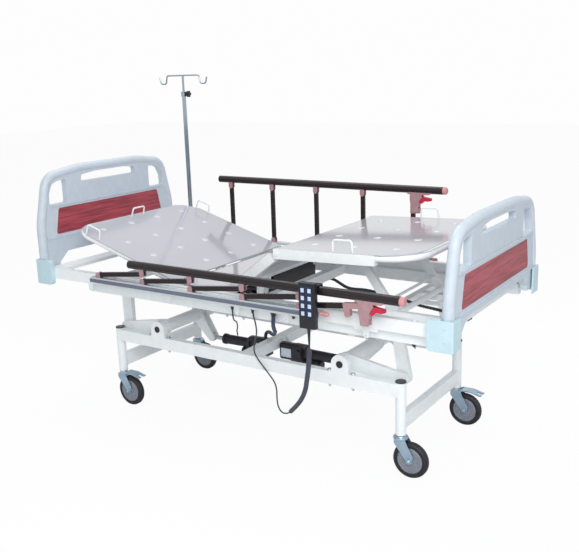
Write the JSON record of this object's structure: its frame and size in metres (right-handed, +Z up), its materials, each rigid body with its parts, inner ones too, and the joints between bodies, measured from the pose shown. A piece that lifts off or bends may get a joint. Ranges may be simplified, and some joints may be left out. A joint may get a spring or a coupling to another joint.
{
  "type": "electric hospital bed",
  "caption": "Electric hospital bed with height, back and knee drives, folding side rails, moulded end boards, braked castors, hand control and infusion pole.",
  "frame": {"origin": "on the floor under the middle of the whole bed", "axes": "+X to the foot end, +Y to the side with the raised rail, +Z up"},
  "size_m": [2.1466, 1.0843, 1.593],
  "materials": {
    "actuator_rod": "bright steel",
    "black_housing": "black moulding",
    "black_knob": "black moulding",
    "board_moulding": "satin pale grey blue moulding",
    "cord_sheath": "dark flexible sheath",
    "corner_moulding": "satin pale blue moulding",
    "handset_shell": "dark navy moulding",
    "keypad_membrane": "navy membrane with pale keys",
    "platform_sheet": "glossy light grey enamel",
    "pole_chrome": "polished",
    "rail_aluminium": "bright anodised, mauve mouldings",
    "rail_dark": "dark brown anodised, mauve mouldings",
    "red_trigger": "red moulding",
    "tyre": "satin black polyurethane on a grey hub",
    "white_enamel": "white powder coat",
    "wood_look_panel": "red brown wood look laminate",
    "zinc_plate": "blue zinc plated pressed steel"
  },
  "bodies": {
    "base": {"base_frame": "white_enamel"},
    "castor_fork_hn": {"castor_fork_hn": "zinc_plate"},
    "castor_wheel_hn": {"castor_wheel_hn": "tyre"},
    "castor_pedal_hn": {"castor_pedal_hn": "zinc_plate"},
    "castor_fork_hf": {"castor_fork_hf": "zinc_plate"},
    "castor_wheel_hf": {"castor_wheel_hf": "tyre"},
    "castor_fork_fn": {"castor_fork_fn": "zinc_plate"},
    "castor_wheel_fn": {"castor_wheel_fn": "tyre"},
    "castor_fork_ff": {"castor_fork_ff": "zinc_plate"},
    "castor_wheel_ff": {"castor_wheel_ff": "tyre"},
    "castor_pedal_ff": {"castor_pedal_ff": "zinc_plate"},
    "head_lift_shaft": {"head_lift_shaft": "white_enamel"},
    "foot_lift_shaft": {"foot_lift_shaft": "white_enamel"},
    "foot_links": {"foot_links": "white_enamel"},
    "upper_frame": {"upper_frame": "white_enamel", "headboard": "board_moulding", "footboard": "board_moulding", "wood_panels": "wood_look_panel", "corner_brackets": "corner_moulding", "seat_section": "platform_sheet", "control_box": "black_housing", "near_lower_rail": "rail_aluminium", "far_lower_rail": "rail_aluminium", "iv_pole": "pole_chrome", "strut_tracks": "white_enamel", "handset_coil": "cord_sheath", "handset_tail": "cord_sheath", "lift_lead": "cord_sheath", "thin_lead": "cord_sheath", "mains_lead": "cord_sheath"},
    "head_actuator": {"head_actuator": "black_housing"},
    "head_actuator_rod": {"head_actuator_rod": "actuator_rod"},
    "foot_actuator": {"foot_actuator": "black_housing"},
    "foot_actuator_rod": {"foot_actuator_rod": "actuator_rod"},
    "back_section": {"back_section": "platform_sheet"},
    "back_actuator": {"back_actuator": "black_housing"},
    "back_actuator_rod": {"back_actuator_rod": "actuator_rod"},
    "thigh_section": {"thigh_section": "platform_sheet"},
    "leg_section": {"leg_section": "platform_sheet"},
    "leg_strut": {"leg_strut": "white_enamel"},
    "knee_actuator": {"knee_actuator": "black_housing"},
    "knee_actuator_rod": {"knee_actuator_rod": "actuator_rod"},
    "near_post_1": {"near_post_1": "rail_dark"},
    "near_post_2": {"near_post_2": "rail_dark"},
    "near_post_3": {"near_post_3": "rail_dark"},
    "near_post_4": {"near_post_4": "rail_dark"},
    "near_post_5": {"near_post_5": "rail_dark"},
    "near_top_rail": {"near_top_rail": "rail_dark", "handset": "handset_shell", "keypad": "keypad_membrane"},
    "near_trigger": {"near_trigger": "red_trigger"},
    "far_post_1": {"far_post_1": "rail_dark"},
    "far_post_2": {"far_post_2": "rail_dark"},
    "far_post_3": {"far_post_3": "rail_dark"},
    "far_post_4": {"far_post_4": "rail_dark"},
    "far_post_5": {"far_post_5": "rail_dark"},
    "far_top_rail": {"far_top_rail": "rail_dark"},
    "far_trigger": {"far_trigger": "red_trigger"},
    "iv_rod": {"iv_rod": "pole_chrome"},
    "iv_knob": {"iv_knob": "black_knob"}
  },
  "joints": [
    {"name": "swivel_hn", "type": "hinge", "parent": "base", "child": "castor_fork_hn", "pos_m": [-0.739, -0.275, 0.175], "axis": [0, 0, 1], "continuous": true},
    {"name": "roll_hn", "type": "hinge", "parent": "castor_fork_hn", "child": "castor_wheel_hn", "pos_m": [-0.694, -0.275, 0.075], "axis": [0, 1, 0], "continuous": true},
    {"name": "brake_hn", "type": "hinge", "parent": "castor_fork_hn", "child": "castor_pedal_hn", "pos_m": [-0.725, -0.275, 0.157], "axis": [0, 1, 0], "range_deg": [0, 10]},
    {"name": "swivel_hf", "type": "hinge", "parent": "base", "child": "castor_fork_hf", "pos_m": [-0.739, 0.303, 0.175], "axis": [0, 0, 1], "continuous": true},
    {"name": "roll_hf", "type": "hinge", "parent": "castor_fork_hf", "child": "castor_wheel_hf", "pos_m": [-0.694, 0.303, 0.075], "axis": [0, 1, 0], "continuous": true},
    {"name": "swivel_fn", "type": "hinge", "parent": "base", "child": "castor_fork_fn", "pos_m": [0.781, -0.275, 0.175], "axis": [0, 0, 1], "continuous": true},
    {"name": "roll_fn", "type": "hinge", "parent": "castor_fork_fn", "child": "castor_wheel_fn", "pos_m": [0.826, -0.275, 0.075], "axis": [0, 1, 0], "continuous": true},
    {"name": "swivel_ff", "type": "hinge", "parent": "base", "child": "castor_fork_ff", "pos_m": [0.781, 0.303, 0.175], "axis": [0, 0, 1], "continuous": true},
    {"name": "roll_ff", "type": "hinge", "parent": "castor_fork_ff", "child": "castor_wheel_ff", "pos_m": [0.826, 0.303, 0.075], "axis": [0, 1, 0], "continuous": true},
    {"name": "brake_ff", "type": "hinge", "parent": "castor_fork_ff", "child": "castor_pedal_ff", "pos_m": [0.795, 0.303, 0.157], "axis": [0, 1, 0], "range_deg": [0, 10]},
    {"name": "lift", "type": "hinge", "parent": "base", "child": "head_lift_shaft", "pos_m": [-0.474, 0.014, 0.428], "axis": [0, 1, 0], "range_deg": [0, 38]},
    {"name": "frame_level", "type": "hinge", "parent": "head_lift_shaft", "child": "upper_frame", "pos_m": [-0.729, 0.014, 0.395], "axis": [0, 1, 0], "range_deg": [-38, 0]},
    {"name": "foot_lift", "type": "hinge", "parent": "base", "child": "foot_lift_shaft", "pos_m": [0.516, 0.014, 0.428], "axis": [0, -1, 0], "range_deg": [0, 38]},
    {"name": "foot_link_pivot", "type": "hinge", "parent": "foot_lift_shaft", "child": "foot_links", "pos_m": [0.771, 0.014, 0.395], "axis": [0, -1, 0], "range_deg": [-38, 0]},
    {"name": "head_actuator_swing", "type": "hinge", "parent": "base", "child": "head_actuator", "pos_m": [-0.024, 0.014, 0.322], "axis": [0, 1, 0], "range_deg": [-4.28, 0.01]},
    {"name": "head_actuator_stroke", "type": "slide", "parent": "head_actuator", "child": "head_actuator_rod", "axis": [-0.9999, 0, -0.0137], "range_m": [-0.0001, 0.08589]},
    {"name": "foot_actuator_swing", "type": "hinge", "parent": "base", "child": "foot_actuator", "pos_m": [0.066, 0.014, 0.322], "axis": [0, -1, 0], "range_deg": [-4.28, 0.01]},
    {"name": "foot_actuator_stroke", "type": "slide", "parent": "foot_actuator", "child": "foot_actuator_rod", "axis": [0.9999, 0, -0.0137], "range_m": [-0.0001, 0.08589]},
    {"name": "back_raise", "type": "hinge", "parent": "upper_frame", "child": "back_section", "pos_m": [-0.241, 0.014, 0.69], "axis": [0, 1, 0], "range_deg": [-17, 53]},
    {"name": "back_actuator_swing", "type": "hinge", "parent": "upper_frame", "child": "back_actuator", "pos_m": [0.083, -0.046, 0.626], "axis": [0, 1, 0], "range_deg": [-1.57, 4.87]},
    {"name": "back_actuator_stroke", "type": "slide", "parent": "back_actuator", "child": "back_actuator_rod", "axis": [-0.9998, 0, 0.0221], "range_m": [-0.01405, 0.0436]},
    {"name": "knee_raise", "type": "hinge", "parent": "upper_frame", "child": "thigh_section", "pos_m": [0.031, 0.014, 0.69], "axis": [0, -1, 0], "range_deg": [-37, 3]},
    {"name": "leg_fold", "type": "hinge", "parent": "thigh_section", "child": "leg_section", "pos_m": [0.29295, 0.014, 0.8874], "axis": [0, -1, 0], "range_deg": [-2.85, 35.01]},
    {"name": "strut_fold", "type": "hinge", "parent": "leg_section", "child": "leg_strut", "pos_m": [0.57521, 0.014, 0.85623], "axis": [0, -1, 0], "range_deg": [-4.61, 56.77]},
    {"name": "knee_actuator_swing", "type": "hinge", "parent": "upper_frame", "child": "knee_actuator", "pos_m": [-0.271, -0.186, 0.634], "axis": [0, -1, 0], "range_deg": [-2.27, 0.19]},
    {"name": "knee_actuator_stroke", "type": "slide", "parent": "knee_actuator", "child": "knee_actuator_rod", "axis": [0.9999, 0, -0.0137], "range_m": [-0.0428, 0.00356]},
    {"name": "near_rail_fold", "type": "hinge", "parent": "upper_frame", "child": "near_post_1", "pos_m": [-0.619, -0.491, 0.724], "axis": [0, -1, 0], "range_deg": [0, 83.46]},
    {"name": "near_post_2_fold", "type": "hinge", "parent": "upper_frame", "child": "near_post_2", "pos_m": [-0.349, -0.491, 0.724], "axis": [0, -1, 0], "range_deg": [0, 83.46]},
    {"name": "near_post_3_fold", "type": "hinge", "parent": "upper_frame", "child": "near_post_3", "pos_m": [-0.079, -0.491, 0.724], "axis": [0, -1, 0], "range_deg": [0, 83.46]},
    {"name": "near_post_4_fold", "type": "hinge", "parent": "upper_frame", "child": "near_post_4", "pos_m": [0.191, -0.491, 0.724], "axis": [0, -1, 0], "range_deg": [0, 83.46]},
    {"name": "near_post_5_fold", "type": "hinge", "parent": "upper_frame", "child": "near_post_5", "pos_m": [0.461, -0.491, 0.724], "axis": [0, -1, 0], "range_deg": [0, 83.46]},
    {"name": "near_top_rail_level", "type": "hinge", "parent": "near_post_1", "child": "near_top_rail", "pos_m": [-0.34877, -0.491, 0.755], "axis": [0, -1, 0], "range_deg": [-83.46, 0]},
    {"name": "near_trigger_pull", "type": "hinge", "parent": "near_top_rail", "child": "near_trigger", "pos_m": [0.77323, -0.491, 0.755], "axis": [0, -1, 0], "range_deg": [0, 8], "stiffness_Nm_per_rad": 0.6, "springref_deg": -5.73},
    {"name": "far_rail_fold", "type": "hinge", "parent": "upper_frame", "child": "far_post_1", "pos_m": [-0.619, 0.519, 0.724], "axis": [0, 1, 0], "range_deg": [0, 83.46]},
    {"name": "far_post_2_fold", "type": "hinge", "parent": "upper_frame", "child": "far_post_2", "pos_m": [-0.349, 0.519, 0.724], "axis": [0, 1, 0], "range_deg": [0, 83.46]},
    {"name": "far_post_3_fold", "type": "hinge", "parent": "upper_frame", "child": "far_post_3", "pos_m": [-0.079, 0.519, 0.724], "axis": [0, 1, 0], "range_deg": [0, 83.46]},
    {"name": "far_post_4_fold", "type": "hinge", "parent": "upper_frame", "child": "far_post_4", "pos_m": [0.191, 0.519, 0.724], "axis": [0, 1, 0], "range_deg": [0, 83.46]},
    {"name": "far_post_5_fold", "type": "hinge", "parent": "upper_frame", "child": "far_post_5", "pos_m": [0.461, 0.519, 0.724], "axis": [0, 1, 0], "range_deg": [0, 83.46]},
    {"name": "far_top_rail_level", "type": "hinge", "parent": "far_post_1", "child": "far_top_rail", "pos_m": [-0.619, 0.519, 0.996], "axis": [0, 1, 0], "range_deg": [-83.46, 0]},
    {"name": "far_trigger_pull", "type": "hinge", "parent": "far_top_rail", "child": "far_trigger", "pos_m": [0.503, 0.519, 0.996], "axis": [0, -1, 0], "range_deg": [0, 8], "stiffness_Nm_per_rad": 0.6, "springref_deg": -5.73},
    {"name": "pole_height", "type": "slide", "parent": "upper_frame", "child": "iv_rod", "axis": [0, 0, 1], "range_m": [-0.07, 0.4]},
    {"name": "pole_clamp", "type": "hinge", "parent": "upper_frame", "child": "iv_knob", "pos_m": [-0.869, 0.459, 1.491], "axis": [1, 0, 0], "range_deg": [-180, 180]}
  ],
  "couplings": [
    {"joint": "frame_level", "follows": "lift", "ratio": -1},
    {"joint": "foot_lift", "follows": "lift", "ratio": 1},
    {"joint": "foot_link_pivot", "follows": "lift", "ratio": -1},
    {"joint": "head_actuator_swing", "follows": "lift", "ratio": -0.11232},
    {"joint": "head_actuator_stroke", "follows": "lift", "m_per_rad": 0.12935},
    {"joint": "foot_actuator_swing", "follows": "lift", "ratio": -0.11232},
    {"joint": "foot_actuator_stroke", "follows": "lift", "m_per_rad": 0.12935},
    {"joint": "back_actuator_swing", "follows": "back_raise", "ratio": 0.091731},
    {"joint": "back_actuator_stroke", "follows": "back_raise", "m_per_rad": 0.04703},
    {"joint": "leg_fold", "follows": "knee_raise", "ratio": -0.94595},
    {"joint": "strut_fold", "follows": "knee_raise", "ratio": -1.5341},
    {"joint": "knee_actuator_swing", "follows": "knee_raise", "ratio": 0.06101},
    {"joint": "knee_actuator_stroke", "follows": "knee_raise", "m_per_rad": 0.066128},
    {"joint": "near_post_2_fold", "follows": "near_rail_fold", "ratio": 1},
    {"joint": "near_post_3_fold", "follows": "near_rail_fold", "ratio": 1},
    {"joint": "near_post_4_fold", "follows": "near_rail_fold", "ratio": 1},
    {"joint": "near_post_5_fold", "follows": "near_rail_fold", "ratio": 1},
    {"joint": "near_top_rail_level", "follows": "near_rail_fold", "ratio": -1},
    {"joint": "far_post_2_fold", "follows": "far_rail_fold", "ratio": 1},
    {"joint": "far_post_3_fold", "follows": "far_rail_fold", "ratio": 1},
    {"joint": "far_post_4_fold", "follows": "far_rail_fold", "ratio": 1},
    {"joint": "far_post_5_fold", "follows": "far_rail_fold", "ratio": 1},
    {"joint": "far_top_rail_level", "follows": "far_rail_fold", "ratio": -1}
  ]
}
